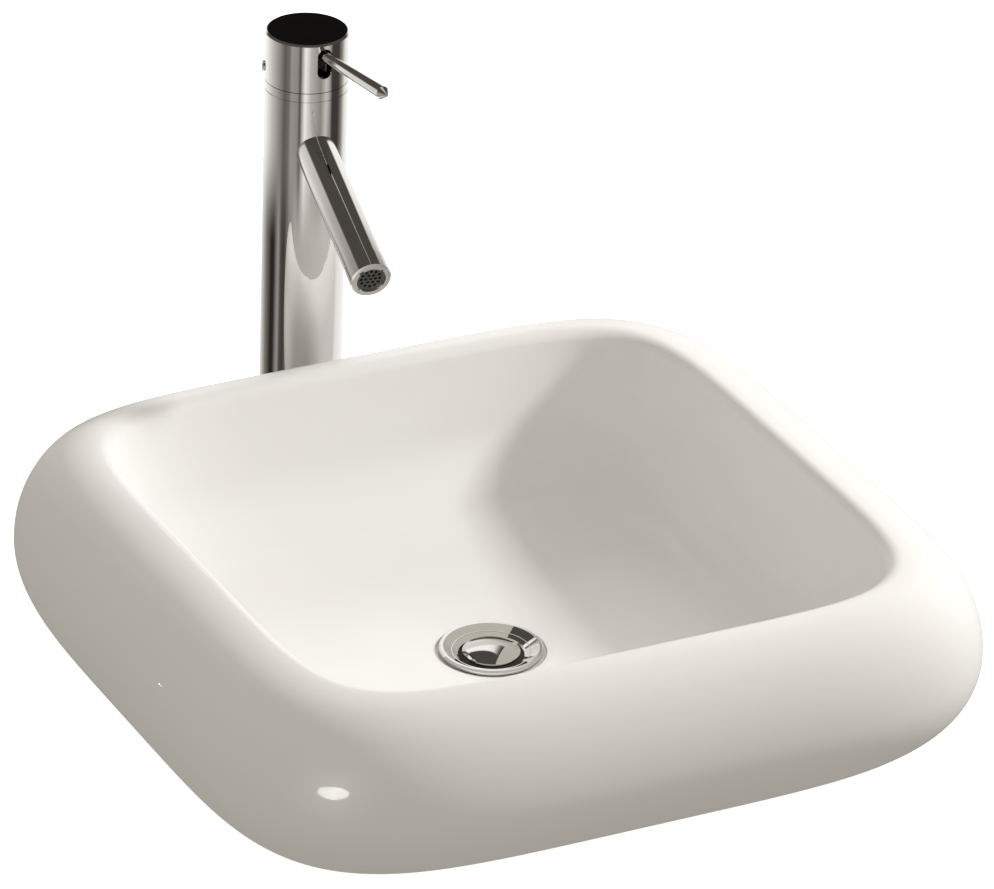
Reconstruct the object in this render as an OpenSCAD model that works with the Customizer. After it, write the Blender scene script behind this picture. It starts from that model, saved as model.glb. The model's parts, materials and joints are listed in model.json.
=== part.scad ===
// Square countertop basin with a push waste and a tall single-lever tap.
// Millimetres. The origin is the centre of the basin's foot, on the counter; +Z is up and the
// front faces -Y. The tap stands on the counter behind the basin.

/* [Basin outline] */
// Width of the basin at its widest line
basin_w = 475; // [455:5:500]
// How much nearer the front and the back are than the sides, at the widest line
depth_less = 12.5; // [8:0.5:16]
// Squareness of the outline in plan (superellipse exponent)
outline_n = 4.66; // [4.2:0.02:5]
// Height of the foot ring
foot_h = 6; // [4:0.2:9]
// Distance from the widest line in to the foot ring
foot_inset = 60; // [58:0.5:68]
// Width of the foot ring's bottom face
foot_w = 14; // [10:1:18]

/* [Basin section] */
// Radius of the rim's side, above the widest line
rim_side_r = 64.6; // [60:0.2:72]
// Turn at which the rim's side passes into its top, in degrees
rim_turn = 39.4; // [34:0.1:50]
// Radius of the rim's top
rim_top_r = 45.7; // [40:0.1:50]
// Radius of the lip that rolls over into the bowl
lip_r = 8; // [7:0.5:12]
// Radius of the belly, below the widest line
belly_r = 57; // [53:1:60]
// Turn at which the belly passes into the underside, in degrees
belly_turn = 63; // [58:1:66]
// Radius of the underside
under_r = 70; // [64:1:80]
// Turn at which the underside reaches the foot, in degrees
under_turn = 84; // [80:1:86]
// Thickness of the outer shell
shell_t = 9; // [7:0.5:11]

/* [Bowl] */
// Squareness of the bowl's opening in plan
opening_n = 5.9; // [5:0.1:7]
// Lean of the bowl's walls from upright, in degrees
wall_draft = 11.7; // [8:0.1:14]
// Radius between the bowl's walls and its floor
bowl_r = 45; // [36:1:55]
// Fall of the floor towards the waste, in degrees
floor_fall = 6.5; // [4:0.5:8]
// Height of the floor beside the waste
floor_z = 25.6; // [23:0.1:29]
// Thickness of the bowl's walls and floor
bowl_t = 10; // [8:0.5:11]
// Radius of the flat boss under the waste
boss_r = 42; // [38:1:50]

/* [Waste] */
// Radius of the waste's flange
flange_r = 30; // [29:0.5:33]
// Thickness of the flange at its edge
flange_t = 2.5; // [2:0.1:3]
// Radius of the waste's threaded tail, G1 1/4
tail_r = 20.95; // [20.5:0.05:21.4]
// Length of the tail below the counter
tail_below = 62; // [50:1:80]
// Radius of the throat that the plug closes
throat_r = 19; // [18.4:0.1:19.4]
// Radius of the tail's bore
tail_bore_r = 16.4; // [15.8:0.1:17]
// Radius of the waste hole in the ceramic
waste_hole_r = 23; // [22.5:0.5:24]
// Thickness of the seal under the flange
flange_seal_t = 1.2; // [0.8:0.1:2]
// Thickness of the rubber gasket under the boss
gasket_t = 6; // [4:0.5:7]
// Thickness of the slip washer
slip_t = 1.5; // [1:0.1:2]
// Height of the lock nut
lock_nut_h = 9; // [7:0.5:12]
// Width across the lock nut's flats
lock_nut_af = 54; // [52:1:58]

/* [Plug] */
// Radius of the plug's cap
cap_r = 16.6; // [15.5:0.1:17.4]
// Height of the cap's dome
dome_h = 2.6; // [1.5:0.1:4]
// Travel of the plug from shut to open
plug_travel = 8; // [5:0.5:9]
// Radius of the plug's stem
stem_r = 4; // [3.5:0.1:5]
// Running clearance of the stem in its sleeve
stem_gap = 0.06; // [0.03:0.01:0.1]
// Radius of the latch sleeve
sleeve_r = 6.5; // [6:0.1:8]
// Radius of the latch spring's wire
spring_wire_r = 0.6; // [0.4:0.1:0.7]
// Turns of the latch spring
spring_turns = 5; // [3:1:6]

/* [Tap body] */
// Sideways place of the tap
tap_x = 5; // [-10:1:10]
// Gap between the basin's back and the tap
tap_gap = 18.5; // [4:0.5:30]
// Radius of the tap's body and head
tap_r = 24.5; // [24:0.1:26]
// Height of the body's top above the counter
body_top = 264; // [240:0.1:290]
// Wall of the tubular body
body_wall = 3.5; // [2.5:0.1:4]
// Thickness of the plate that closes the body's foot
foot_plate_t = 15; // [12:1:20]
// Thickness of the base gasket
base_gasket_t = 1.5; // [1:0.1:2.5]
// Radius of the threaded hose inlets, M10
inlet_r = 5; // [4.5:0.1:5.2]
// Depth of the hose inlets
inlet_depth = 11; // [8:1:11]
// Half the distance between the hose inlets
inlet_x = 9; // [8.7:0.1:9.5]
// Outer radius of the supply tubes inside the body
supply_r = 5; // [4.5:0.1:5.2]
// Wall of the supply tubes
supply_t = 1; // [0.8:0.1:1.2]

/* [Fixing] */
// Thickness of the counter that the tap clamps
counter_t = 30; // [15:1:40]
// Radius of the fixing stud, M8
stud_r = 4; // [3.5:0.1:4]
// Length of the stud below the counter's underside
stud_below = 40; // [30:1:60]
// Radius of the clamp washers
clamp_r = 23; // [21:0.5:26]
// Thickness of the rubber clamp washer
clamp_rubber_t = 3; // [2:0.5:5]
// Thickness of the metal clamp washer
clamp_plate_t = 2.5; // [2:0.5:3]
// Height of the stud's nut
stud_nut_h = 12; // [8:1:20]

/* [Spout] */
// Radius of the spout
spout_r = 11.8; // [11:0.1:12.5]
// Wall of the spout
spout_t = 2.2; // [1.8:0.1:2.5]
// Fall of the spout below level, in degrees
spout_fall = 16.5; // [14:0.5:20]
// Turn of the spout to the user's left, in degrees
spout_turn = 8; // [0:1:12]
// Depth below the body's top at which the spout's axis meets the body's axis
spout_down = 26.5; // [26.5:0.5:32]
// Reach of the spout's end from the tap's axis
spout_reach = 130; // [100:1:140]
// Length of the aerator's housing
aerator_l = 13; // [10:0.5:16]
// Rows of holes in the aerator's insert
aerator_rings = 3; // [2:1:3]

/* [Cartridge] */
// Radius of the cartridge
cartridge_r = 17.5; // [17:0.1:18]
// Height of the cartridge's housing
cartridge_h = 15.6; // [15.6:0.1:17]
// Wall of the cartridge's housing
housing_wall = 3; // [2.5:0.1:3.1]
// Thickness of the floor of the cartridge's housing
housing_floor = 2.4; // [2:0.1:2.6]
// Thickness of each ceramic disc
disc_t = 2; // [1.8:0.1:2.2]
// Radius of the moving disc
moving_disc_r = 11.2; // [11:0.1:11.5]
// Height of the driver on the moving disc
driver_h = 4.2; // [4:0.1:4.4]
// Radius of the water ports
port_r = 2.4; // [2:0.1:2.5]
// Radius of the rotor's neck
neck_r = 11.9; // [11.6:0.1:12.4]
// Step at which the head's web seats on the neck
neck_step = 1.5; // [1.2:0.1:1.6]
// Width of the spindle
spindle_w = 7; // [6:0.1:7.2]
// Depth of the spindle's pivot below the body's top
pivot_down = 3.4; // [3:0.1:4]
// Clearance between parts that turn on each other
run_gap = 0.35; // [0.3:0.05:0.4]

/* [Head] */
// Height of the collar ring
collar_h = 5.2; // [4.5:0.1:6]
// Seam between the body, the collar and the head
seam = 0.4; // [0.3:0.1:0.6]
// Height of the head
head_h = 30.2; // [30:0.1:33]
// Wall of the head
head_wall = 3; // [2.5:0.1:3.5]
// Bevel round the head's top
head_bevel = 1; // [0.6:0.1:1.5]
// Thickness of the dark disc let into the head's top
top_disc_t = 1.2; // [0.8:0.1:1.4]
// Thickness of the head's top, with its disc
head_top_t = 2.9; // [2.6:0.1:3.2]

/* [Lever] */
// Radius of the lever's pin where it leaves the knuckle
pin_r = 2.8; // [2.5:0.1:3]
// Radius of the lever's pin at its wider, outer end
pin_end_r = 3.9; // [3.1:0.1:4.2]
// Visible length of the lever's pin
pin_l = 82; // [50:1:100]
// Rise of the pin when the lever is lifted, in degrees
pin_rise = 7; // [6:1:12]
// Depth of the pin's axis below the head's top, at the head's face
pin_drop = 7.5; // [7.5:0.1:8.5]
// Travel of the lever from lifted to shut, in degrees
lever_travel = 25; // [20:1:25]
// Width of the slot that the pin moves in
slot_w = 9; // [8:0.1:10]

/* [Hidden] */
$fn = 72;
// Overrun of a cutter past the face that it cuts
over = 1;
// Clearance of a hole over what it holds, on the radius
fit = 0.1;

// Places along the basin's section. Inset is measured in from the widest line, half is
// measured out from the middle.
half_w = basin_w / 2;
belly_depth = (belly_r - under_r) * sin(belly_turn) + under_r * sin(under_turn);
widest_z = foot_h + belly_depth;
crown_inset = rim_side_r - (rim_side_r - rim_top_r) * cos(rim_turn);
crown_z = widest_z + (rim_side_r - rim_top_r) * sin(rim_turn) + rim_top_r;
foot_half = half_w - foot_inset;

// A point of the rim's section at a turn above the widest line, moved in by t
function rim_pt(turn, t) = turn <= rim_turn
    ? [half_w - rim_side_r + (rim_side_r - t) * cos(turn), widest_z + (rim_side_r - t) * sin(turn)]
    : [half_w - crown_inset + (rim_top_r - t) * cos(turn),
       crown_z - rim_top_r + (rim_top_r - t) * sin(turn)];
// A point of the belly's section at a turn below the widest line, moved in by t
function belly_pt(turn, t) = turn <= belly_turn
    ? [half_w - belly_r + (belly_r - t) * cos(turn), widest_z - (belly_r - t) * sin(turn)]
    : [half_w - belly_r - (under_r - belly_r) * cos(belly_turn) + (under_r - t) * cos(turn),
       widest_z + (under_r - belly_r) * sin(belly_turn) - (under_r - t) * sin(turn)];
// A point of the lip's section, from the crown (90) down to the wall
function lip_pt(turn) = [half_w - crown_inset - lip_r * cos(turn), crown_z - lip_r + lip_r * sin(turn)];

// The bowl's wall and floor are two straight lines joined by an arc
wall_top = lip_pt(wall_draft);
seat_edge = [waste_hole_r + 13, floor_z];
wall_normal = [-cos(wall_draft), sin(wall_draft)];
floor_normal = [-sin(floor_fall), cos(floor_fall)];
wall_k = wall_top * wall_normal + bowl_r;
floor_k = seat_edge * floor_normal + bowl_r;
cross_k = wall_normal[0] * floor_normal[1] - wall_normal[1] * floor_normal[0];
bowl_c = [(wall_k * floor_normal[1] - floor_k * wall_normal[1]) / cross_k,
    (wall_normal[0] * floor_k - floor_normal[0] * wall_k) / cross_k];
// A point of the arc between floor and wall, moved out by t
function bowl_pt(turn, t) = bowl_c + (bowl_r + t) * [sin(turn), -cos(turn)];
// Squareness of the bowl in plan, from round at the waste to the opening's
function bowl_n(half) = 2 + (opening_n - 2)
    * pow(max(0, half - seat_edge[0]) / (wall_top[0] - seat_edge[0]), 1.5);
// Squareness of the rim in plan, from the outline's to the opening's
function rim_n(half) = outline_n + (opening_n - outline_n) * (half_w - half) / crown_inset;
// Loss of depth on each side, all of it on the outline and none on the square opening
function rim_less(half) = depth_less * max(0, 1 - (half_w - half) / crown_inset);

// Waste: heights up from the boss and down from the flange's seat
seat_z = floor_z - 1.3;
boss_z = seat_z - 13;
flange_z = seat_z + flange_seal_t;
flange_top = flange_z + flange_t;
gasket_z = boss_z - gasket_t;
slip_z = gasket_z - slip_t;
lock_nut_z = slip_z - lock_nut_h;
dish_z = flange_top - 4;
ledge_z = dish_z - 5;
ledge_r = tail_bore_r + 1;
lower_ledge_z = ledge_z - 17;
// Plug: shut, its seal stands just clear of the ledge
plug_z = ledge_z + 0.3;
seal_h = 3;
cap_rim_z = plug_z + seal_h;
cap_rim_h = dish_z - cap_rim_z + 1.2;
stem_end = lower_ledge_z - 3;
sleeve_top = plug_z - 1.2;
sleeve_bottom = stem_end - 10;
spring_mean_r = stem_r - spring_wire_r - 0.2;
sleeve_floor = 1.5;
latch_ring_h = 4;
// Thread relief in the tail, below the lock nut
relief_top = lock_nut_z - 3;
relief_w = 2;
relief_depth = 0.8;

// Tap: heights up from the counter
tap_y = half_w - depth_less + tap_gap + tap_r;
body_z = base_gasket_t;
spout_z = body_top - spout_down;
block_below = 40.5;
block_bottom = spout_z - block_below;
nut_recess = 8.2;
cartridge_z = body_top - cartridge_h - nut_recess;
nut_z = cartridge_z + cartridge_h;
nut_h = body_top - nut_z - 0.2;
nut_r = tap_r - 4;
head_z = body_top + collar_h + 2 * seam;
head_top = head_z + head_h;
pivot_z = body_top - pivot_down;
web_z = head_z + 1.2;
stud_y = 11;
inlet_y = -3;
port_x = 6.2;
port_y = 0.5;
outlet_y = -5.5;
outlet_z = spout_z - 8.5;
outlet_r = 4.5;
plate_top = body_z + foot_plate_t;
tube_top = block_bottom + 5;

// Cartridge: heights up from its seat
fixed_z = cartridge_z + housing_floor;
moving_z = fixed_z + disc_t + 0.05;
driver_z = moving_z + disc_t;
driver_top = driver_z + driver_h;
rotor_z = driver_top + run_gap;
housing_inner_r = cartridge_r - housing_wall;
ball_r = 2.2;
rod_r = 1.6;
ball_drop = pivot_z - driver_top + 1.6;
lean = lever_travel / 2;
pivot_pin_r = 1.5;
pivot_gap = 0.05;
upper_neck_r = neck_r - neck_step;

// Lever, in its own frame: the pivot is the origin and the spindle stands upright
pin_z = (head_top - pin_drop - pivot_z) - tap_r * tan(pin_rise);
pin_angle = pin_rise - lean;
pin_root = [0, -pin_z * sin(lean), pin_z * cos(lean)];
// Where the pin's axis crosses the spindle's, and its way from there to the tap's axis
hub_z = pin_root[2] + pin_root[1] * tan(pin_angle);
hub_back = -pin_root[1] / cos(pin_angle);
knuckle_r = 6.2;
knuckle_screw_r = 1.55;
knuckle_z = hub_z - pin_r - 3.4;
knuckle_top = hub_z + pin_r + 1.6;
spindle_top = knuckle_top - 1.2;
knuckle_screw_z = spindle_top - 4.4;
tip_l = 5;
// The pin's forward reach and height at its root, and its height at the head's face, once the
// lever has moved down by some degrees
function root_at(moved) = let (a = lean - moved)
    [-pin_root[1] * cos(a) - pin_root[2] * sin(a), pin_root[2] * cos(a) - pin_root[1] * sin(a)];
function slot_z(moved) = pivot_z + root_at(moved)[1] + (tap_r - root_at(moved)[0]) * tan(pin_rise - moved);
slot_top = slot_z(0);
slot_bottom = slot_z(lever_travel);
web_top = slot_bottom - slot_w / 2 - 0.2;
neck_top = web_top - 0.4;
slot_half = (neck_top - pivot_z) * tan(lean) + spindle_w / 2 / cos(lean) + run_gap;
// Button and grub screw: turned to the head's back left, at the web's height
index_turn = 154;
index_r = 3.2;
grub_r = 1.5;
grub_z = web_top - grub_r - 0.5;

// Outline of a rounded square as a superellipse: n = 2 is a circle. The sampling angle is
// bunched towards the corners.
SIDES = 64;
BUNCH = 7.5;
function squircle(half, n, a) = let (r = half / pow(pow(abs(cos(a)), n) + pow(abs(sin(a)), n), 1 / n))
    [r * cos(a), r * sin(a)];
function ring_pts(half, n, z, less) = [for (i = [0:SIDES - 1]) let (s = i * 360 / SIDES,
    p = squircle(half, n, s + BUNCH * sin(4 * s))) [p[0], p[1] * (half - less) / half, z]];

// A closed body from rings [half width, n, z, loss of depth] that run once round its section
module ring_loft(rings) {
    count = len(rings);
    faces = [for (k = [0:count - 1]) for (i = [0:SIDES - 1])
        let (j = (i + 1) % SIDES, a = k * SIDES, b = ((k + 1) % count) * SIDES)
        each [[a + i, a + j, b + j], [a + i, b + j, b + i]]];
    polyhedron([for (r = rings) each ring_pts(r[0], r[1], r[2], r[3])], faces, convexity = 10);
}

// A straight tube along +Z
module tube(outer_r, inner_r, h) {
    difference() {
        cylinder(r = outer_r, h = h);
        translate([0, 0, -over]) cylinder(r = inner_r, h = h + 2 * over);
    }
}

module hex(af, h) { cylinder(d = af / cos(30), h = h, $fn = 6); }

module on_tap() { translate([tap_x, tap_y, 0]) children(); }
module on_lever() { on_tap() translate([0, 0, pivot_z]) rotate([-lean, 0, 0]) children(); }
module along_spout() {
    on_tap() translate([0, 0, spout_z]) rotate([90 + spout_fall, 0, -spout_turn]) children();
}
spout_l = spout_reach / cos(spout_fall);

// The ceramic: one loft that runs from the waste over the bowl's floor, wall, lip, rim and belly
// to the foot, then back inside the hollow underside to the boss round the waste
module basin_bowl() {
    core_r = waste_hole_r - 8;
    floor_turns = [for (k = [0:6]) floor_fall + (90 - wall_draft - floor_fall) * k / 6];
    floor_start = bowl_pt(floor_fall, 0);
    bowl_inside = concat(
        [[core_r, 2, floor_z - 0.4, 0], [seat_edge[0], 2, seat_edge[1], 0]],
        [for (k = [1:2]) let (p = seat_edge + (floor_start - seat_edge) * k / 3)
            [p[0], bowl_n(p[0]), p[1], 0]],
        [for (t = floor_turns) let (p = bowl_pt(t, 0)) [p[0], bowl_n(p[0]), p[1], 0]]);
    lip = [for (k = [0:5]) let (p = lip_pt(wall_draft + (90 - wall_draft) * k / 5))
        [p[0], opening_n, p[1], 0]];
    rim_turns = concat([for (t = [82:-8:rim_turn + 2]) t], [for (k = [6:-1:0]) rim_turn * k / 6]);
    rim = [for (t = rim_turns) let (p = rim_pt(t, 0)) [p[0], rim_n(p[0]), p[1], rim_less(p[0])]];
    belly_turns = concat([for (k = [1:6]) belly_turn * k / 6],
        [for (k = [1:3]) belly_turn + (under_turn - belly_turn) * k / 3]);
    belly = [for (t = belly_turns) let (p = belly_pt(t, 0)) [p[0], outline_n, p[1], depth_less]];
    foot = [for (p = [[foot_half, foot_h - 0.2], [foot_half, 0], [foot_half - foot_w, 0],
        [foot_half - foot_w, foot_h + 3]]) [p[0], outline_n, p[1], depth_less]];
    inner_turns = concat([under_turn, (under_turn + belly_turn) / 2],
        [for (k = [4:-1:0]) belly_turn * k / 4]);
    shell_inside = concat(
        [for (t = inner_turns) let (p = belly_pt(t, shell_t)) [p[0], outline_n, p[1], depth_less]],
        [for (t = [rim_turn / 2, rim_turn, 58, 74]) let (p = rim_pt(t, shell_t))
            [p[0], rim_n(p[0]), p[1], rim_less(rim_pt(t, 0)[0])]]);
    wall_back = wall_top - wall_normal * bowl_t - [sin(wall_draft), cos(wall_draft)] * 9;
    bowl_outside = concat(
        [[wall_back[0], opening_n, wall_back[1], 0]],
        [for (k = [4:-1:0]) let (t = floor_fall + (90 - wall_draft - floor_fall) * k / 4,
            p = bowl_pt(t, bowl_t)) [p[0], bowl_n(bowl_pt(t, 0)[0]), p[1], 0]],
        [[boss_r + 4, 2, floor_z - bowl_t + 1, 0], [boss_r, 2, boss_z, 0], [core_r, 2, boss_z, 0]]);
    color("white") difference() {
        ring_loft(concat(bowl_inside, lip, rim, belly, foot, shell_inside, bowl_outside));
        translate([0, 0, -over]) cylinder(r = waste_hole_r, h = floor_z + 2 * over);
        translate([0, 0, seat_z]) cylinder(r = flange_r + 1.5, h = floor_z);
    }
}

// Flange, throat and threaded tail in one piece
module waste_body() color("silver") rotate_extrude() polygon([
    [ledge_r + 1.6, ledge_z], [throat_r, ledge_z], [throat_r, dish_z - 0.8], [throat_r + 1, dish_z],
    [flange_r - 2.5, flange_top], [flange_r - 1, flange_top], [flange_r, flange_top - 1],
    [flange_r, flange_z], [waste_hole_r - 0.6, flange_z], [waste_hole_r - 0.6, boss_z + 2],
    [tail_r, boss_z], [tail_r, relief_top], [tail_r - relief_depth, relief_top],
    [tail_r - relief_depth, relief_top - relief_w], [tail_r, relief_top - relief_w],
    [tail_r, -tail_below + 1], [tail_r - 1, -tail_below],
    [tail_bore_r, -tail_below], [tail_bore_r, lower_ledge_z], [ledge_r, lower_ledge_z],
    [ledge_r, ledge_z - 1.6]]);

module waste_flange_seal() color("dimgray") translate([0, 0, seat_z])
    tube(flange_r - 1.5, waste_hole_r + 0.4, flange_seal_t);

module waste_gasket() color("dimgray") translate([0, 0, gasket_z])
    tube(boss_r - 11, tail_r + fit, gasket_t);

module waste_slip_washer() color("white") translate([0, 0, slip_z])
    tube(boss_r - 13, tail_r + fit, slip_t);

module waste_lock_nut() color("goldenrod") translate([0, 0, lock_nut_z]) difference() {
    union() {
        hex(lock_nut_af, lock_nut_h - 2);
        translate([0, 0, lock_nut_h - 2]) cylinder(r = lock_nut_af / 2, h = 2);
    }
    translate([0, 0, -over]) cylinder(r = tail_r + fit, h = lock_nut_h + 2 * over);
}

// Ring, three arms and a blind sleeve that the plug's stem clicks up and down in
module latch_housing() color("white") {
    ring_r = ledge_r - fit;
    arm_r = ring_r - 0.8;
    arm_w = 2.5;
    difference() {
        union() {
            translate([0, 0, lower_ledge_z]) tube(ring_r, ring_r - 1.6, latch_ring_h);
            for (k = [0:2]) rotate([0, 0, 120 * k + 30])
                translate([sleeve_r - 1, -arm_w / 2, lower_ledge_z + 0.5])
                    cube([arm_r - sleeve_r + 1, arm_w, latch_ring_h - 1]);
            translate([0, 0, sleeve_bottom]) cylinder(r = sleeve_r, h = sleeve_top - sleeve_bottom);
        }
        translate([0, 0, sleeve_bottom + sleeve_floor]) cylinder(r = stem_r + stem_gap, h = 60);
    }
}

// One unbroken wire from the sleeve's floor to the stem's end
module latch_spring() color("silver") {
    low = sleeve_bottom + sleeve_floor + spring_wire_r + 0.05;
    high = stem_end - spring_wire_r - 0.15;
    steps = 16;
    total = spring_turns * steps;
    pts = [for (k = [0:total]) let (a = 360 * k / steps, z = low + (high - low) * k / total)
        for (s = [0:5]) let (b = 60 * s, r = spring_mean_r + spring_wire_r * cos(b))
            [r * cos(a), r * sin(a), z + spring_wire_r * sin(b)]];
    sides = [for (k = [0:total - 1]) for (s = [0:5]) let (t = (s + 1) % 6, a = 6 * k, b = a + 6)
        each [[a + s, b + t, b + s], [a + s, a + t, b + t]]];
    polyhedron(pts, concat(sides, [[5, 4, 3, 2, 1, 0]], [[for (s = [0:5]) 6 * total + s]]), convexity = 6);
}

// Domed cap with a hub that goes down through the seal
module plug_cap() color("silver") {
    dome_r = (pow(cap_r, 2) + pow(dome_h, 2)) / (2 * dome_h);
    rim_top = cap_rim_z + cap_rim_h;
    union() {
        translate([0, 0, cap_rim_z]) cylinder(r = cap_r, h = cap_rim_h);
        intersection() {
            translate([0, 0, rim_top + dome_h - dome_r]) sphere(r = dome_r);
            translate([0, 0, rim_top - 0.5]) cylinder(r = cap_r, h = dome_h + 1);
        }
        translate([0, 0, plug_z]) cylinder(r = 9, h = seal_h + 0.5);
    }
}

module plug_seal() color("dimgray") translate([0, 0, plug_z]) tube(throat_r - 0.3, 9 + fit, seal_h);

module plug_stem() color("silver") translate([0, 0, stem_end]) cylinder(r = stem_r, h = plug_z - stem_end);

// Body tube with the foot plate, the cartridge block, its ports and the spout's waterway
module tap_body() color("silver") difference() {
    on_tap() difference() {
        translate([0, 0, body_z]) cylinder(r = tap_r, h = body_top - body_z);
        translate([0, 0, plate_top]) cylinder(r = tap_r - body_wall, h = block_bottom - plate_top);
        translate([0, 0, cartridge_z]) cylinder(r = cartridge_r + fit, h = body_top);
        translate([0, 0, nut_z]) cylinder(r = nut_r + fit, h = body_top);
        for (side = [-1, 1]) {
            translate([side * inlet_x, inlet_y, 0]) cylinder(r = inlet_r, h = body_z + inlet_depth);
            translate([side * inlet_x, inlet_y, 0]) cylinder(r = supply_r - supply_t, h = plate_top + over);
            translate([side * inlet_x, inlet_y, block_bottom - over])
                cylinder(r = supply_r + fit, h = tube_top - block_bottom + over);
            translate([side * inlet_x, inlet_y, block_bottom]) cylinder(r = supply_r - supply_t, h = 10);
            translate([side * port_x, port_y, tube_top])
                cylinder(r = port_r, h = cartridge_z - tube_top + over);
        }
        translate([0, stud_y, 0]) cylinder(r = stud_r + fit, h = plate_top - 3);
        translate([0, outlet_y, outlet_z]) cylinder(r = port_r, h = cartridge_z - outlet_z + over);
        translate([0, outlet_y, outlet_z]) rotate([90, 0, -spout_turn]) cylinder(r = outlet_r, h = tap_r);
    }
}

module tap_base_gasket() color("dimgray") on_tap() tube(tap_r - 0.4, tap_r - 6, base_gasket_t);

module supply_tube(side) on_tap() translate([side * inlet_x, inlet_y, plate_top])
    tube(supply_r, supply_r - supply_t, tube_top - plate_top);
module supply_tube_hot() color("peru") supply_tube(-1);
module supply_tube_cold() color("peru") supply_tube(1);

stud_bottom = -counter_t - stud_below;
module fixing_stud() color("silver") on_tap() translate([0, stud_y, stud_bottom])
    cylinder(r = stud_r, h = plate_top - 3.2 - stud_bottom);

// Horseshoe washer, open to the front for the hoses
hose_gap = inlet_x + inlet_r + 1;
module clamp_washer(t) {
    difference() {
        cylinder(r = clamp_r, h = t);
        translate([-hose_gap, -2 * clamp_r, -over])
            cube([2 * hose_gap, 2 * clamp_r + inlet_y, t + 2 * over]);
        for (side = [-1, 1]) translate([side * (hose_gap - inlet_r - 1), inlet_y, -over])
            cylinder(r = inlet_r + 1, h = t + 2 * over);
        translate([-inlet_x, inlet_y - over, -over]) cube([2 * inlet_x, over + inlet_r + 1, t + 2 * over]);
        translate([0, stud_y, -over]) cylinder(r = stud_r + fit, h = t + 2 * over);
    }
}
module clamp_rubber() color("dimgray") on_tap() translate([0, 0, -counter_t - clamp_rubber_t])
    clamp_washer(clamp_rubber_t);
module clamp_plate() color("silver") on_tap() translate([0, 0, -counter_t - clamp_rubber_t - clamp_plate_t])
    clamp_washer(clamp_plate_t);
module stud_nut() color("goldenrod")
    on_tap() translate([0, stud_y, -counter_t - clamp_rubber_t - clamp_plate_t - stud_nut_h]) difference() {
        hex(13, stud_nut_h);
        translate([0, 0, -over]) cylinder(r = stud_r + fit, h = stud_nut_h + 2 * over);
    }

// Round tube let against the body, with a step for the aerator's housing
step_l = 6;
joint_gap = 0.05;
module spout() color("silver") difference() {
    along_spout() difference() {
        cylinder(r = spout_r, h = spout_l - aerator_l - joint_gap);
        translate([0, 0, -over]) cylinder(r = spout_r - spout_t, h = spout_l + over);
    }
    on_tap() cylinder(r = tap_r, h = body_top);
}

// Threaded sleeve at the spout's end, with a lip that holds the insert
module aerator_housing() color("silver") along_spout() {
    sleeve = spout_r - spout_t - fit;
    difference() {
        union() {
            translate([0, 0, spout_l - aerator_l]) cylinder(r = spout_r + 0.3, h = aerator_l - 0.8);
            translate([0, 0, spout_l - 0.8])
                cylinder(r1 = spout_r + 0.3, r2 = spout_r - 0.5, h = 0.8, $fn = 72);
            translate([0, 0, spout_l - aerator_l - step_l]) cylinder(r = sleeve, h = step_l + 1);
        }
        translate([0, 0, spout_l - aerator_l - step_l - over])
            cylinder(r = sleeve - 1.4, h = step_l + over + 2);
        translate([0, 0, spout_l - aerator_l + 2]) cylinder(r = spout_r - 2.2, h = aerator_l - 3.4);
        translate([0, 0, spout_l - 2]) cylinder(r = spout_r - 3.2, h = 3);
        for (k = [0:3]) rotate([0, 0, 90 * k + 45]) translate([spout_r - 3.4, -1.5, spout_l - 1.4])
            cube([1.6, 3, 3]);
    }
}
insert_l = aerator_l - 6.4;
module aerator_insert() color("gray") along_spout() translate([0, 0, spout_l - 1.5 - insert_l])
    difference() {
        cylinder(r = spout_r - 2.2 - fit, h = insert_l);
        for (ring = [0:aerator_rings - 1]) for (k = [0:max(0, 6 * ring - 1)])
            rotate([0, 0, ring == 0 ? 0 : 60 * k / ring]) translate([2.8 * ring, 0, -over])
                cylinder(r = 1.05, h = insert_l + 2 * over, $fn = 24);
    }
module aerator_washer() color("dimgray") along_spout() translate([0, 0, spout_l - aerator_l + 2])
    tube(spout_r - 2.2 - fit, spout_r - 5, aerator_l - 3.5 - insert_l - 0.1);

// Cup with three ports in its floor
module port_places() {
    for (side = [-1, 1]) translate([side * port_x, port_y, 0]) children();
    translate([0, outlet_y, 0]) children();
}
module ports() port_places() translate([0, 0, -over]) cylinder(r = port_r, h = 20);
seal_w = 1.3;
module cartridge_housing() color("whitesmoke") on_tap() translate([0, 0, cartridge_z]) difference() {
    cylinder(r = cartridge_r, h = cartridge_h);
    translate([0, 0, housing_floor]) cylinder(r = housing_inner_r, h = cartridge_h);
    ports();
    port_places() translate([0, 0, -over]) cylinder(r = port_r + seal_w + fit, h = over + 0.8);
}
module cartridge_port_seals() color("dimgray") on_tap() translate([0, 0, cartridge_z])
    port_places() tube(port_r + seal_w, port_r, 0.7);

module fixed_disc() color("gainsboro") on_tap() translate([0, 0, fixed_z]) difference() {
    cylinder(r = housing_inner_r - fit, h = disc_t);
    ports();
}

// Ceramic slider. The recess under it joins both inlets to the outlet when the lever is up and
// leaves them when the lever is down.
module moving_disc() color("gainsboro") on_tap() translate([0, disc_y(0), moving_z]) difference() {
    cylinder(r = moving_disc_r, h = disc_t);
    translate([-port_x - port_r, 1.6, -over]) cube([2 * (port_x + port_r), 4.8, over + 1]);
    translate([-port_r, outlet_y - 3.2, -over]) cube([2 * port_r, 12, over + 1]);
    driver_lugs(fit);
}
module disc_driver() color("whitesmoke") on_tap() translate([0, disc_y(0), moving_z]) difference() {
    union() {
        translate([0, 0, disc_t]) cylinder(r = moving_disc_r - 0.5, h = driver_h);
        driver_lugs(0);
    }
    translate([0, 0, disc_t - over]) cylinder(r = ball_r + 0.08, h = driver_h + 2 * over);
}
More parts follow.
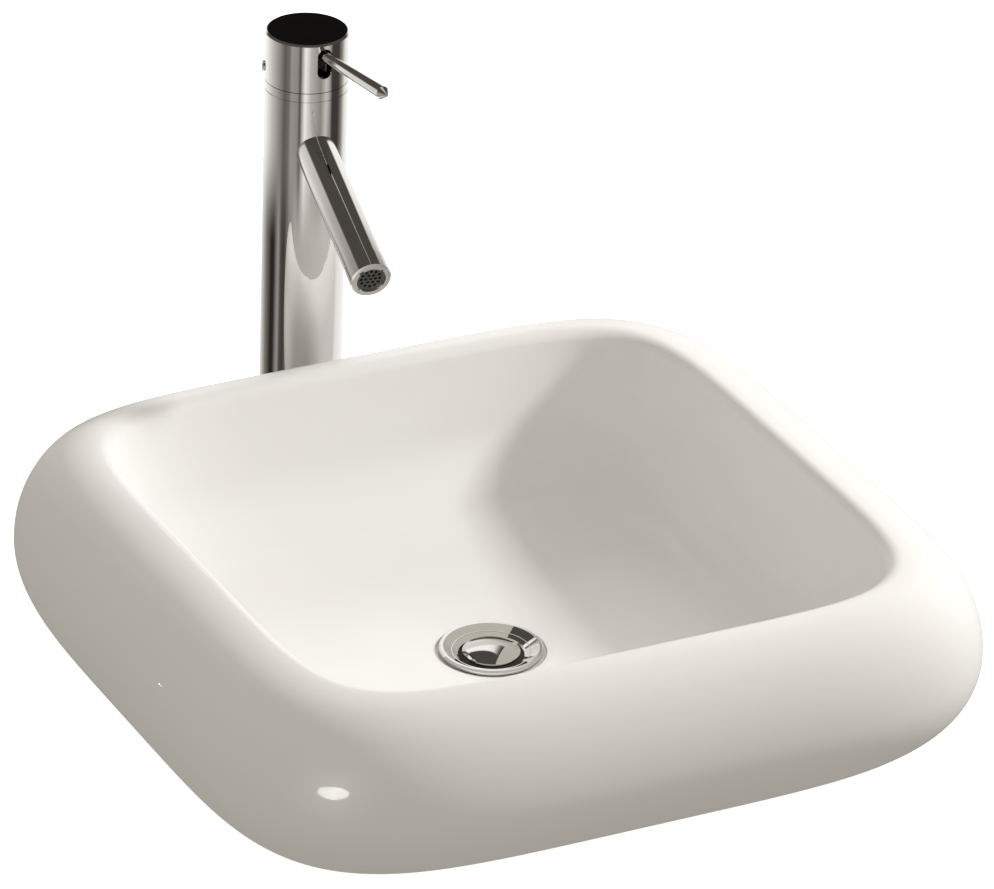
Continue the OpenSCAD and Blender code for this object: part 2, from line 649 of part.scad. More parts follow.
// Two lugs that key the driver into the ceramic, or with some room their notches
lug = [1.6, 3, 1.3];
module driver_lugs(room) for (side = [-1, 1])
    translate([side * (moving_disc_r - lug[0]), 0, disc_t + lug[2] / 2 - 0.8])
        cube([for (d = lug) d + 2 * room], center = true);
// Place of the moving disc when the lever has moved down by some degrees
function disc_y(moved) = -ball_drop * sin(lean - moved);

// Turning carrier: it holds the spindle's pivot and carries the head on the step of its neck
module cartridge_rotor() color("whitesmoke") on_tap() difference() {
    union() {
        translate([0, 0, rotor_z]) cylinder(r = housing_inner_r - run_gap, h = nut_z - run_gap - rotor_z);
        translate([0, 0, rotor_z]) cylinder(r = neck_r, h = web_z - rotor_z);
        translate([0, 0, rotor_z]) cylinder(r = upper_neck_r, h = neck_top - rotor_z);
    }
    translate([-spindle_w / 2 - 0.25, -slot_half, rotor_z - over])
        cube([spindle_w + 0.5, 2 * slot_half, 60]);
    translate([-neck_r - over, 0, pivot_z]) rotate([0, 90, 0])
        cylinder(r = pivot_pin_r + pivot_gap, h = 2 * (neck_r + over));
}
module spindle_pivot_pin() color("silver") on_tap() translate([-neck_r + 0.1, 0, pivot_z])
    rotate([0, 90, 0]) cylinder(r = pivot_pin_r, h = 2 * neck_r - 0.2);

// Square bar with a ball at its foot; its top goes into the knuckle
module spindle() color("silver") on_lever() difference() {
    union() {
        translate([-spindle_w / 2, -spindle_w / 2, -6]) cube([spindle_w, spindle_w, 6 + spindle_top]);
        translate([0, 0, -ball_drop]) cylinder(r = rod_r, h = ball_drop - 5);
        translate([0, 0, -ball_drop]) sphere(r = ball_r);
    }
    translate([-spindle_w, 0, 0]) rotate([0, 90, 0])
        cylinder(r = pivot_pin_r + pivot_gap, h = 2 * spindle_w);
    translate([spindle_w / 2 - 0.6, 0, knuckle_screw_z]) rotate([0, 90, 0])
        cylinder(r = knuckle_screw_r + 0.05, h = 2);
}

// Ring that screws into the body's top and holds the cartridge down, with four spanner notches
module cartridge_nut() color("goldenrod") on_tap() translate([0, 0, nut_z]) difference() {
    tube(nut_r, neck_r + 0.5, nut_h);
    for (k = [0:3]) rotate([0, 0, 90 * k + 45]) translate([nut_r - 4, -2, nut_h - 2.5]) cube([5, 4, 3]);
}

module collar_ring() color("silver") on_tap() translate([0, 0, body_top + seam]) difference() {
    union() {
        cylinder(r = tap_r, h = collar_h);
        translate([0, 0, -seam]) cylinder(r = tap_r - 1.2, h = collar_h + seam);
    }
    translate([0, 0, -over]) cylinder(r = neck_r + 0.6, h = collar_h + 2 * over);
}

// Cup with a web that seats on the rotor and a slot for the lever's pin
module head_shell() color("silver") on_tap() difference() {
    union() {
        difference() {
            union() {
                translate([0, 0, head_z]) cylinder(r = tap_r, h = head_h - head_bevel);
                translate([0, 0, head_top - head_bevel])
                    cylinder(r1 = tap_r, r2 = tap_r - head_bevel, h = head_bevel, $fn = 72);
            }
            translate([0, 0, head_z - over])
                cylinder(r = tap_r - head_wall, h = head_h - head_top_t + over);
            translate([0, 0, head_top - top_disc_t])
                cylinder(r = tap_r - head_bevel - 0.5 + fit, h = 2 * top_disc_t);
        }
        translate([0, 0, web_z]) cylinder(r = tap_r - head_wall + 0.5, h = web_top - web_z);
    }
    translate([0, 0, web_z - over]) cylinder(r = upper_neck_r + 0.05, h = web_top - web_z + 2 * over);
    pin_slot();
    rotate([0, 0, index_turn]) translate([0, 0, grub_z]) rotate([0, 90, 0]) {
        cylinder(r = grub_r + fit, h = 2 * tap_r);
        translate([0, 0, tap_r - 1.5]) cylinder(r = index_r + fit, h = 5);
    }
}
// The pin's path through the head's front face, from lifted to shut
module pin_slot() {
    for (z = [slot_bottom, slot_top]) translate([0, 0, z]) rotate([90, 0, 0])
        cylinder(r = slot_w / 2, h = 2 * tap_r);
    translate([-slot_w / 2, -2 * tap_r, slot_bottom])
        cube([slot_w, 2 * tap_r, slot_top - slot_bottom]);
}

module head_top_disc() color("black") on_tap() translate([0, 0, head_top - top_disc_t])
    cylinder(r = tap_r - head_bevel - 0.5, h = top_disc_t);

module head_grub_screw() color("dimgray") on_tap() rotate([0, 0, index_turn])
    translate([upper_neck_r + 0.1, 0, grub_z]) rotate([0, 90, 0]) difference() {
        cylinder(r = grub_r, h = 6);
        translate([0, 0, 3.5]) cylinder(d = 1.5, h = 4, $fn = 6);
    }

module index_button() color("silver") on_tap() rotate([0, 0, index_turn])
    translate([tap_r - 1.5, 0, grub_z]) rotate([0, 90, 0]) union() {
        cylinder(r = index_r, h = 2.4);
        translate([0, 0, 2.4]) cylinder(r1 = index_r, r2 = index_r - 0.7, h = 0.7, $fn = 48);
    }

// Round block on the spindle's top that the pin screws into
module lever_knuckle() color("silver") on_lever() difference() {
    translate([0, 0, knuckle_z]) cylinder(r = knuckle_r, h = knuckle_top - knuckle_z);
    translate([-spindle_w / 2 - 0.05, -spindle_w / 2 - 0.05, knuckle_z - over])
        cube([spindle_w + 0.1, spindle_w + 0.1, spindle_top - knuckle_z + over + 0.05]);
    pin_line() translate([0, 0, spindle_w / 2]) cylinder(r = pin_r - 0.8 + 0.05, h = 20);
    translate([0, 0, knuckle_screw_z]) rotate([0, 90, 0]) cylinder(r = knuckle_screw_r + 0.05, h = 20);
}
// Frame along the pin's axis, out of the head's front
module pin_line() translate([0, 0, hub_z]) rotate([90 - pin_angle, 0, 0]) children();

module lever_pin() color("silver") on_lever() pin_line() {
    shank_start = spindle_w / 2 + 0.3;
    face = knuckle_r + 0.3;
    end = hub_back + tap_r / cos(pin_rise) + pin_l;
    shank_r = pin_r - 0.8;
    rotate_extrude() polygon([[0, shank_start], [shank_r, shank_start], [shank_r, face], [pin_r, face],
        [pin_end_r, end - tip_l], [1, end], [0, end]]);
}

module knuckle_screw() color("dimgray") on_lever() translate([spindle_w / 2 - 0.5, 0, knuckle_screw_z])
    rotate([0, 90, 0]) difference() {
        cylinder(r = knuckle_screw_r, h = knuckle_r - spindle_w / 2 + 0.3);
        translate([0, 0, 2]) cylinder(d = 1.5, h = 4, $fn = 6);
    }

basin_bowl();
waste_body();
waste_flange_seal();
waste_gasket();
waste_slip_washer();
waste_lock_nut();
latch_housing();
latch_spring();
plug_cap();
plug_seal();
plug_stem();
tap_body();
tap_base_gasket();
supply_tube_hot();
supply_tube_cold();
fixing_stud();
clamp_rubber();
clamp_plate();
stud_nut();
spout();
aerator_housing();
aerator_insert();
aerator_washer();
cartridge_housing();
cartridge_port_seals();
fixed_disc();
moving_disc();
disc_driver();
cartridge_rotor();
spindle();
spindle_pivot_pin();
cartridge_nut();
collar_ring();
head_shell();
head_top_disc();
head_grub_screw();
index_button();
lever_knuckle();
lever_pin();
knuckle_screw();
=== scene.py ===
"""A square ceramic countertop basin with its chrome waste, and the tall single-lever tap behind it."""
import json
import math

import bpy
import numpy as np
from mathutils import Matrix, Vector


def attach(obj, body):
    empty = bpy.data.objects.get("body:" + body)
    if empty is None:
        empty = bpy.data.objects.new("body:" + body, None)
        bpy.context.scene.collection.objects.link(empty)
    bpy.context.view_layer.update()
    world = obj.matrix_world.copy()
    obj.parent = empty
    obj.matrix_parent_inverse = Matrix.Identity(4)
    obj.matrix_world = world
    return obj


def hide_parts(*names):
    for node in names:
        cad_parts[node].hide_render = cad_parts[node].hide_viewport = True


MM = 0.001

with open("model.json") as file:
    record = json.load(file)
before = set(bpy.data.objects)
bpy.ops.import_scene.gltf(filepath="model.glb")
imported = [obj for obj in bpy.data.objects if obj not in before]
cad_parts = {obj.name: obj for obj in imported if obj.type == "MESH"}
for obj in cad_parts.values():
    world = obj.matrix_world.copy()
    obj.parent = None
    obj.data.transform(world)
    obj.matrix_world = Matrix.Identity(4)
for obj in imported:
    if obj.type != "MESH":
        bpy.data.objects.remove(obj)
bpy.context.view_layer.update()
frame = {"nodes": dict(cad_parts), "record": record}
nodes = frame["nodes"]
BASIN_BODY = "basin_and_tap"


# Shader maths

class Value:
    """A node's output. Python's operators on it add Math nodes."""

    def __init__(self, finish, socket):
        self.finish = finish
        self.socket = socket

    def _math(self, operation, *values):
        return self.finish.node("Math", {k: v for k, v in enumerate(values)}, operation=operation)

    def __add__(self, other):
        return self._math("ADD", self, other)

    __radd__ = __add__

    def __sub__(self, other):
        return self._math("SUBTRACT", self, other)

    def __rsub__(self, other):
        return self._math("SUBTRACT", other, self)

    def __mul__(self, other):
        return self._math("MULTIPLY", self, other)

    __rmul__ = __mul__

    def __truediv__(self, other):
        return self._math("DIVIDE", self, other)

    def __rtruediv__(self, other):
        return self._math("DIVIDE", other, self)

    def ramp(self, low, high):
        """0 below low, 1 above high, smooth between them."""
        return self.finish.node("MapRange", {0: self, 1: low, 2: high, 3: 0.0, 4: 1.0},
                                interpolation_type="SMOOTHSTEP")


class Finish:
    """A material, or the world, and its nodes."""

    def __init__(self, owner):
        owner.use_nodes = True
        self.owner = owner
        self.tree = owner.node_tree
        self.tree.nodes.clear()

    def node(self, kind, inputs=None, output=0, stops=None, **settings):
        """Adds a node: settings first, then the stops of a ramp, then its sockets."""
        new = self.tree.nodes.new("ShaderNode" + kind)
        for key, value in settings.items():
            setattr(new, key, value)
        if stops:
            elements = new.color_ramp.elements
            while len(elements) < len(stops):
                elements.new(0.5)
            for element, (place, colour) in zip(elements, stops):
                element.position = place
                element.color = (*colour, 1.0)
        for key, value in (inputs or {}).items():
            if isinstance(value, Value):
                self.tree.links.new(value.socket, new.inputs[key])
            else:
                new.inputs[key].default_value = value
        return Value(self, new.outputs[output] if len(new.outputs) else None)

    def place(self, stretch=(1.0, 1.0, 1.0)):
        """The object's own coordinates in metres, stretched along its axes."""
        coordinates = self.node("TexCoord", output=3)
        if stretch == (1.0, 1.0, 1.0):
            return coordinates
        return self.node("VectorMath", {0: coordinates, 1: stretch}, operation="MULTIPLY")

    def noise(self, size, detail=3.0, roughness=0.5, stretch=(1.0, 1.0, 1.0)):
        """Noise whose spots are about size metres across."""
        return self.node("TexNoise", {"Vector": self.place(stretch), "Scale": 1.0 / size,
                                      "Detail": detail, "Roughness": roughness})

    def mix(self, share, first, second):
        """The first colour where share is 0, the second where it is 1."""
        return self.node("Mix", {0: share, 6: first, 7: second}, output=2, data_type="RGBA")

    def bump(self, height, strength, distance):
        return self.node("Bump", {"Height": height, "Strength": strength, "Distance": distance})

    def surface(self, **sockets):
        """The principled shader on the material's output."""
        shader = self.node("BsdfPrincipled", {name.replace("_", " "): v for name, v in sockets.items()})
        self.node("OutputMaterial", {0: shader})
        return self.owner


def rgb(red, green, blue):
    return (red, green, blue, 1.0)


def material(name):
    return Finish(bpy.data.materials.new(name))


# Finishes, with lengths in metres

GLAZE_EDGE = (0.0002, 0.0009)
WAVE_RADIANS = 20.0
RING_PITCH = 0.0012 * math.pi


def glazed_ceramic():
    """Thick white glaze, and bare biscuit on the face of the foot."""
    f = material("glazed_ceramic")
    height = f.node("SeparateXYZ", {0: f.place()}, output=2)
    bare = 1.0 - height.ramp(*GLAZE_EDGE)
    pool = f.noise(0.11, 2.0)
    speck = f.noise(0.0012, 1.0).ramp(0.8, 0.86)
    glaze = f.mix(pool.ramp(0.35, 0.7), rgb(0.882, 0.878, 0.87), rgb(0.872, 0.869, 0.864))
    glaze = f.mix(speck * 0.05, glaze, rgb(0.5, 0.46, 0.4))
    biscuit = f.mix(f.noise(0.002), rgb(0.72, 0.66, 0.56), rgb(0.8, 0.75, 0.66))
    ripple = f.noise(0.017, 2.0) + f.noise(0.0021, 2.0) * 0.05
    grain = f.noise(0.0007, 3.0)
    relief = ripple * (1.0 - bare) * 0.5 + grain * bare
    return f.surface(Base_Color=f.mix(bare, glaze, biscuit),
                     Roughness=bare * 0.4 + f.noise(0.03, 3.0).ramp(0.3, 0.7) * 0.05 + 0.4,
                     Coat_Weight=0.3 - bare * 0.3, Coat_Roughness=0.03, IOR=1.4,
                     Normal=f.bump(relief, 0.12, 0.0006))


def polished(name, low, high, gloss):
    """Plated metal with faint wipe marks and a slight unevenness."""
    f = material(name)
    film = f.noise(0.03, 3.0)
    wipes = f.noise(0.0016, 4.0, 0.6, (1.0, 1.0, 0.08))
    roughness = gloss + film.ramp(0.4, 0.75) * 0.012 + wipes.ramp(0.5, 0.8) * 0.008
    return f.surface(Base_Color=f.mix(film.ramp(0.3, 0.7), low, high), Metallic=1.0,
                     Roughness=roughness, Normal=f.bump(f.noise(0.012, 1.0), 0.05, 0.0004))


def rubber():
    f = material("rubber")
    grain = f.noise(0.0006, 3.0)
    return f.surface(Base_Color=f.mix(f.noise(0.01), rgb(0.02, 0.02, 0.02), rgb(0.045, 0.044, 0.042)),
                     Roughness=grain * 0.2 + 0.6, Normal=f.bump(grain, 0.3, 0.0001))


def moulded(name, low, high):
    """Moulded plastic with the fine grain of its mould."""
    f = material(name)
    grain = f.noise(0.0009, 2.0)
    return f.surface(Base_Color=f.mix(f.noise(0.012), low, high), Roughness=grain * 0.15 + 0.35,
                     Normal=f.bump(grain, 0.15, 0.00008))


def machined(name, low, high):
    """Bare metal with the rings that a lathe tool leaves round Z."""
    f = material(name)
    rings = f.node("TexWave", {"Vector": f.place(), "Scale": 2 * math.pi / WAVE_RADIANS / RING_PITCH,
                               "Distortion": 0.4, "Detail": 1.0},
                   output=1, wave_type="BANDS", bands_direction="Z")
    tarnish = f.noise(0.009, 4.0, 0.6)
    return f.surface(Base_Color=f.mix(tarnish.ramp(0.3, 0.75), low, high), Metallic=1.0,
                     Roughness=tarnish * 0.2 + 0.22, Normal=f.bump(rings, 0.2, 0.00005))


def drawn(name, low, high):
    """Drawn metal with long fine streaks along Z."""
    f = material(name)
    streak = f.noise(0.0005, 3.0, 0.6, (1.0, 1.0, 0.02))
    return f.surface(Base_Color=f.mix(f.noise(0.014, 4.0).ramp(0.3, 0.7), low, high), Metallic=1.0,
                     Roughness=streak * 0.2 + 0.2, Normal=f.bump(streak, 0.12, 0.00005))


def lapped():
    """The tap's ceramic discs, lapped almost to a mirror."""
    f = material("ceramic_disc")
    grain = f.noise(0.0004, 2.0)
    return f.surface(Base_Color=f.mix(grain, rgb(0.84, 0.84, 0.82), rgb(0.9, 0.9, 0.88)),
                     Roughness=grain * 0.08 + 0.12, Coat_Weight=0.3)


FINISHES = {
    "glazed_ceramic": glazed_ceramic(),
    "chrome": polished("chrome", rgb(0.86, 0.845, 0.825), rgb(0.9, 0.885, 0.865), 0.02),
    "dark_chrome": polished("dark_chrome", rgb(0.008, 0.007, 0.006), rgb(0.014, 0.012, 0.01), 0.1),
    "rubber": rubber(),
    "white_plastic": moulded("white_plastic", rgb(0.78, 0.78, 0.76), rgb(0.84, 0.84, 0.82)),
    "grey_plastic": moulded("grey_plastic", rgb(0.07, 0.068, 0.066), rgb(0.1, 0.098, 0.095)),
    "brass": machined("brass", rgb(0.72, 0.53, 0.25), rgb(0.83, 0.66, 0.36)),
    "copper": drawn("copper", rgb(0.7, 0.38, 0.24), rgb(0.8, 0.48, 0.32)),
    "steel": machined("steel", rgb(0.5, 0.5, 0.5), rgb(0.62, 0.62, 0.61)),
    "ceramic_disc": lapped(),
}
for part in frame["record"]["subparts"]:
    cad = nodes[part["node"]]
    for place in cad.material_slots:
        place.material = FINISHES[part["material_slot"]]


# Meshes

SHARP_EDGE = 40.0


def piece(name, points, faces, finish, body, replaced):
    """A smooth mesh from points in millimetres, riding on a body and standing for a CAD node."""
    mesh = bpy.data.meshes.new(name)
    mesh.from_pydata([tuple(p) for p in np.asarray(points) * MM], [], faces)
    mesh.validate()
    mesh.polygons.foreach_set("use_smooth", [True] * len(mesh.polygons))
    mesh.set_sharp_from_angle(angle=math.radians(SHARP_EDGE))
    mesh.materials.append(FINISHES[finish])
    made = bpy.data.objects.new(name, mesh)
    bpy.context.scene.collection.objects.link(made)
    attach(made, body)
    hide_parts(replaced)


def ring_faces(count, sides):
    """Quads between count rings of sides points each, and from the last ring back to the first."""
    faces = []
    for k in range(count):
        a, b = k * sides, (k + 1) % count * sides
        for i in range(sides):
            j = (i + 1) % sides
            faces.append((a + i, a + j, b + j, b + i))
    return faces


# The basin in millimetres, from the same section as the source, with finer rings and rounded edges

BASIN_W = 475.0
DEPTH_LESS = 12.5
OUTLINE_N = 4.66
FOOT_H = 6.0
FOOT_INSET = 60.0
FOOT_W = 14.0
RIM_SIDE_R = 64.6
RIM_TURN = 39.4
RIM_TOP_R = 45.7
LIP_R = 8.0
BELLY_R = 57.0
BELLY_TURN = 63.0
UNDER_R = 70.0
UNDER_TURN = 84.0
SHELL_T = 9.0
OPENING_N = 5.9
WALL_DRAFT = 11.7
BOWL_R = 45.0
FLOOR_FALL = 6.5
FLOOR_Z = 25.6
BOWL_T = 10.0
BOSS_R = 42.0
FLANGE_R = 30.0
FLANGE_GAP = 1.5
WASTE_HOLE_R = 23.0
SEAT_DROP = 1.3
SEAT_W = 13.0
BOSS_H = 13.0
ROUND_N = 2.0
OPENING_BLEND = 1.5

# Points of a ring, the degrees by which they crowd into its corners, and the rings of each stretch
SIDES = 360
BUNCH = 7.5
FLOOR_RINGS = 24
BOWL_RINGS = 30
WALL_RINGS = 10
RIM_RINGS = 18
BELLY_RINGS = 26
UNDER_RINGS = 8
INSIDE_RINGS = 12


def way(degrees):
    """Cosine and sine of an angle."""
    return np.array([math.cos(math.radians(degrees)), math.sin(math.radians(degrees))])


half_w = BASIN_W / 2
belly_depth = (BELLY_R - UNDER_R) * way(BELLY_TURN)[1] + UNDER_R * way(UNDER_TURN)[1]
widest_z = FOOT_H + belly_depth
crown_inset = RIM_SIDE_R - (RIM_SIDE_R - RIM_TOP_R) * way(RIM_TURN)[0]
crown_z = widest_z + (RIM_SIDE_R - RIM_TOP_R) * way(RIM_TURN)[1] + RIM_TOP_R
foot_half = half_w - FOOT_INSET
seat_z = FLOOR_Z - SEAT_DROP
boss_z = seat_z - BOSS_H


def rim_pt(turn, t=0.0):
    """A point of the rim's outside, at a turn up from its widest level, or t inside it."""
    if turn <= RIM_TURN:
        return np.array([half_w - RIM_SIDE_R, widest_z]) + (RIM_SIDE_R - t) * way(turn)
    return np.array([half_w - crown_inset, crown_z - RIM_TOP_R]) + (RIM_TOP_R - t) * way(turn)


def belly_pt(turn, t=0.0):
    """A point of the belly, at a turn down from the widest level, or t inside it."""
    down = way(turn) * [1, -1]
    if turn <= BELLY_TURN:
        return np.array([half_w - BELLY_R, widest_z]) + (BELLY_R - t) * down
    middle = np.array([half_w - BELLY_R, widest_z]) - (UNDER_R - BELLY_R) * way(BELLY_TURN) * [1, -1]
    return middle + (UNDER_R - t) * down


def lip_pt(turn):
    """A point of the lip, from the opening's wall up to the crown."""
    return np.array([half_w - crown_inset, crown_z - LIP_R]) + LIP_R * way(turn) * [-1, 1]


wall_top = lip_pt(WALL_DRAFT)
seat_edge = np.array([WASTE_HOLE_R + SEAT_W, FLOOR_Z])
wall_normal = way(WALL_DRAFT) * [-1, 1]
floor_normal = way(FLOOR_FALL)[::-1] * [-1, 1]
bowl_middle = np.linalg.solve(np.array([wall_normal, floor_normal]),
                              [wall_top @ wall_normal + BOWL_R, seat_edge @ floor_normal + BOWL_R])


def bowl_pt(turn, t=0.0):
    """A point of the curve from the floor up into the wall, or t outside it."""
    return bowl_middle + (BOWL_R + t) * way(turn)[::-1] * [1, -1]


def bowl_n(half):
    """How square the bowl is: round at the waste, and square at the opening."""
    share = max(0.0, half - seat_edge[0]) / (wall_top[0] - seat_edge[0])
    return ROUND_N + (OPENING_N - ROUND_N) * share ** OPENING_BLEND


def rim_n(half):
    """How square the rim is between the opening and the outline."""
    return OUTLINE_N + (OPENING_N - OUTLINE_N) * (half_w - half) / crown_inset


def rim_less(half):
    """What the rim's half depth is less than its half width."""
    return DEPTH_LESS * max(0.0, 1 - (half_w - half) / crown_inset)


def ring(half, n, z, less):
    """One level of the basin: a rounded square as a superellipse."""
    turn = np.arange(SIDES) * 2 * np.pi / SIDES
    turn = turn + math.radians(BUNCH) * np.sin(4 * turn)
    c, s = np.cos(turn), np.sin(turn)
    r = half / (np.abs(c) ** n + np.abs(s) ** n) ** (1 / n)
    return np.stack([r * c, r * s * (half - less) / half, np.full(SIDES, z)], -1)


def rounded(corner, before, after, radius, steps=5):
    """Points that round one corner of a section off."""
    corner = np.array(corner, float)
    a = (np.array(before, float) - corner) / np.linalg.norm(np.array(before, float) - corner)
    b = (np.array(after, float) - corner) / np.linalg.norm(np.array(after, float) - corner)
    half = math.acos(max(-1.0, min(1.0, float(a @ b)))) / 2
    reach = radius / math.tan(half)
    middle = corner + (a + b) / np.linalg.norm(a + b) * radius / math.sin(half)
    start, end = corner + a * reach - middle, corner + b * reach - middle
    sweep = math.acos(max(-1.0, min(1.0, float(start @ end) / radius ** 2)))
    points = []
    for k in range(steps):
        u = k / (steps - 1)
        spoke = (math.sin((1 - u) * sweep) * start + math.sin(u * sweep) * end) / math.sin(sweep)
        points.append(middle + spoke)
    return points


def section(points):
    """A section from corners (x, z, radius), each rounded by its radius."""
    out = []
    for k, (x, z, radius) in enumerate(points):
        if radius:
            before, after = points[k - 1], points[(k + 1) % len(points)]
            out += rounded((x, z), before[:2], after[:2], radius)
        else:
            out.append(np.array([x, z]))
    return out


def build_basin():
    """The whole skin of the basin as rings, up from the waste's hole, over the rim and back below."""
    rings = []

    def add(points, n, less):
        for half, z in points:
            rings.append(ring(half, n(half) if callable(n) else n, z,
                              less(half) if callable(less) else less))

    recess_r = FLANGE_R + FLANGE_GAP
    add(section([(WASTE_HOLE_R, boss_z, 0), (WASTE_HOLE_R, seat_z, 0.5), (recess_r, seat_z, 0.4),
                 (recess_r, FLOOR_Z - 0.1, 0.6), (seat_edge[0], FLOOR_Z, 0)])[:-1], ROUND_N, 0.0)
    floor_end = bowl_pt(FLOOR_FALL)
    add([seat_edge + (floor_end - seat_edge) * u for u in np.linspace(0, 0.96, FLOOR_RINGS)],
        bowl_n, 0.0)
    add([bowl_pt(t) for t in np.linspace(FLOOR_FALL, 90 - WALL_DRAFT, BOWL_RINGS)], bowl_n, 0.0)
    wall_foot = bowl_pt(90 - WALL_DRAFT)
    add([wall_foot + (wall_top - wall_foot) * u for u in np.linspace(0.08, 0.92, WALL_RINGS)],
        bowl_n, 0.0)
    add([lip_pt(t) for t in np.linspace(WALL_DRAFT, 90, RIM_RINGS)], OPENING_N, 0.0)
    add([rim_pt(t) for t in np.linspace(87, RIM_TURN, RIM_RINGS)], rim_n, rim_less)
    add([rim_pt(t) for t in np.linspace(RIM_TURN - 2.5, 0, RIM_RINGS)], rim_n, rim_less)
    add([belly_pt(t) for t in np.linspace(2.5, BELLY_TURN, BELLY_RINGS)], OUTLINE_N, DEPTH_LESS)
    add([belly_pt(t) for t in np.linspace(BELLY_TURN + 3, UNDER_TURN, UNDER_RINGS)],
        OUTLINE_N, DEPTH_LESS)

    # The foot, the hollow behind the belly and the rim, the bowl's underside and the waste's boss
    inner = foot_half - FOOT_W
    foot = section([(foot_half + 3, FOOT_H - 0.1, 0), (foot_half, FOOT_H - 0.2, 1.5),
                    (foot_half, 0, 1.2), (inner, 0, 1.2), (inner, FOOT_H + 3, 3.0),
                    (*belly_pt(UNDER_TURN, SHELL_T), 0)])
    add(foot[1:-1], OUTLINE_N, DEPTH_LESS)
    add([belly_pt(t, SHELL_T) for t in (*np.linspace(UNDER_TURN, BELLY_TURN + 4, 4),
                                        *np.linspace(BELLY_TURN, 0, 10))], OUTLINE_N, DEPTH_LESS)
    for t in (*np.linspace(8, RIM_TURN, 5), *np.linspace(48, 74, 4)):
        half, z = rim_pt(t, SHELL_T)
        rings.append(ring(half, rim_n(half), z, rim_less(rim_pt(t)[0])))
    add([wall_top - wall_normal * BOWL_T - way(WALL_DRAFT)[::-1] * 9], OPENING_N, 0.0)
    for t in np.linspace(90 - WALL_DRAFT, FLOOR_FALL, INSIDE_RINGS):
        half, z = bowl_pt(t, BOWL_T)
        rings.append(ring(half, bowl_n(bowl_pt(t)[0]), z, 0.0))
    boss = section([(BOSS_R + 30, FLOOR_Z - BOWL_T + 4, 0), (BOSS_R + 4, FLOOR_Z - BOWL_T + 1, 2.0),
                    (BOSS_R, boss_z, 1.0), (WASTE_HOLE_R, boss_z, 0)])
    add(boss[1:-1], ROUND_N, 0.0)
    piece("ceramic_basin", np.concatenate(rings), ring_faces(len(rings), SIDES), "glazed_ceramic",
          BASIN_BODY, "basin_bowl")


build_basin()


# The studio: floor, camera, lights, and what the chrome and the glaze mirror, in metres

FLOOR_REACH = 6.0
FLOOR_GLOW = 0.75

# The camera's turn, height, roll, distance and aim, and its focal length in pixels of the picture
CAMERA_TURN = -27.3807
CAMERA_RISE = 27.2674
CAMERA_ROLL = 1.9272
CAMERA_FAR = 4.2040858
LOOK_AT = Vector((-0.0007849, 0.0, 0.1571764))
FOCAL_PX = 7499.24
IMAGE_W = 994

# The tent of cards round the tap: turns from the photograph's side, with the light of each
HIGH_CARDS = [(-180, 1.0), (-130, 1.0), (-95, 0.55), (-55, 0.12), (-42, 0.18), (-36, 0.34),
              (-20, 0.3), (-13, 0.08), (0, 0.95), (14, 0.5), (40, 0.28), (55, 0.6), (64, 0.4),
              (73, 0.05), (94, 0.05), (108, 0.25), (124, 0.85), (140, 1.0)]
LOW_CARDS = [(-180, 1.0), (-150, 0.85), (-112, 0.2), (-90, 0.02), (-80, 0.03), (-66, 0.33),
             (-58, 0.08), (-48, 0.05), (-35, 0.25), (-20, 0.45), (80, 0.6), (110, 0.9), (140, 1.0)]
TOP_CARD = 0.07
LOW_TO_HIGH = (0.1, 0.17)
HIGH_TO_TOP = (0.31, 0.35)
TENT_MIDDLE = Vector((0.005, 0.268, 0))
TENT_R = 0.16
TENT_BOTTOM = -0.2
TENT_TOP = 0.82
TENT_SIDES = 96

# Bright cards for the glaze's highlights: the spot that mirrors each, turn, rise, size and light
WINDOWS = {
    "window_corner": ((-0.1965, -0.1977, 0.0816), -135.2, -3.9, (0.42, 0.2), 31.0),
    "window_side": ((-0.2339, -0.0532, 0.0849), 127.3, -9.1, (0.012, 0.012), 30.0),
}
WINDOW_FAR = 1.0
WINDOW_SIDES = 48

# Lights: turn, rise, size, watts and colour
LIGHTS = {
    "key": (-12, 32, (0.22, 0.3), 50, (1.0, 0.99, 0.982)),
    "back_right": (62, 28, (1.2, 0.6), 17, (1.0, 0.99, 0.975)),
}
LIGHT_FAR = 2.6
LIGHT_AIM = Vector((0, 0, 0.08))
SKY = [(0.0, (0.36, 0.341, 0.3)), (0.7, (0.52, 0.496, 0.443)), (1.0, (0.52, 0.496, 0.443))]


def facing(turn, rise):
    """The way out from the basin at a turn (0 is +X, 90 is +Y) and a rise, in degrees."""
    turn, rise = math.radians(turn), math.radians(rise)
    return Vector((math.cos(turn) * math.cos(rise), math.sin(turn) * math.cos(rise), math.sin(rise)))


def stage_mesh(name, points, faces, finish):
    """Studio equipment, which is no part of the object."""
    mesh = bpy.data.meshes.new(name)
    mesh.from_pydata(points, [], faces)
    mesh.materials.append(finish)
    made = bpy.data.objects.new(name, mesh)
    bpy.context.scene.collection.objects.link(made)
    return made


def only_mirrored(made):
    """Lets nothing but reflections see a card."""
    made.visible_camera = made.visible_diffuse = made.visible_shadow = False
    made.visible_transmission = False


def build_floor():
    """A pale floor that the camera sees, and that neither lights the basin nor shows in it."""
    f = material("floor")
    f.surface(Base_Color=f.mix(f.noise(0.6, 1.0), rgb(0.9, 0.9, 0.9), rgb(0.92, 0.92, 0.91)),
              Roughness=0.9, Emission_Color=rgb(1.0, 1.0, 0.995), Emission_Strength=FLOOR_GLOW)
    corners = [(x * FLOOR_REACH, y * FLOOR_REACH, 0) for x, y in ((-1, -1), (1, -1), (1, 1), (-1, 1))]
    floor = stage_mesh("floor", corners, [(0, 1, 2, 3)], f.owner)
    floor.visible_diffuse = floor.visible_glossy = False


def card_colour(light):
    """The darker a card, the warmer it is."""
    return (light, light * (0.91 + 0.08 * light), light * (0.82 + 0.15 * light))


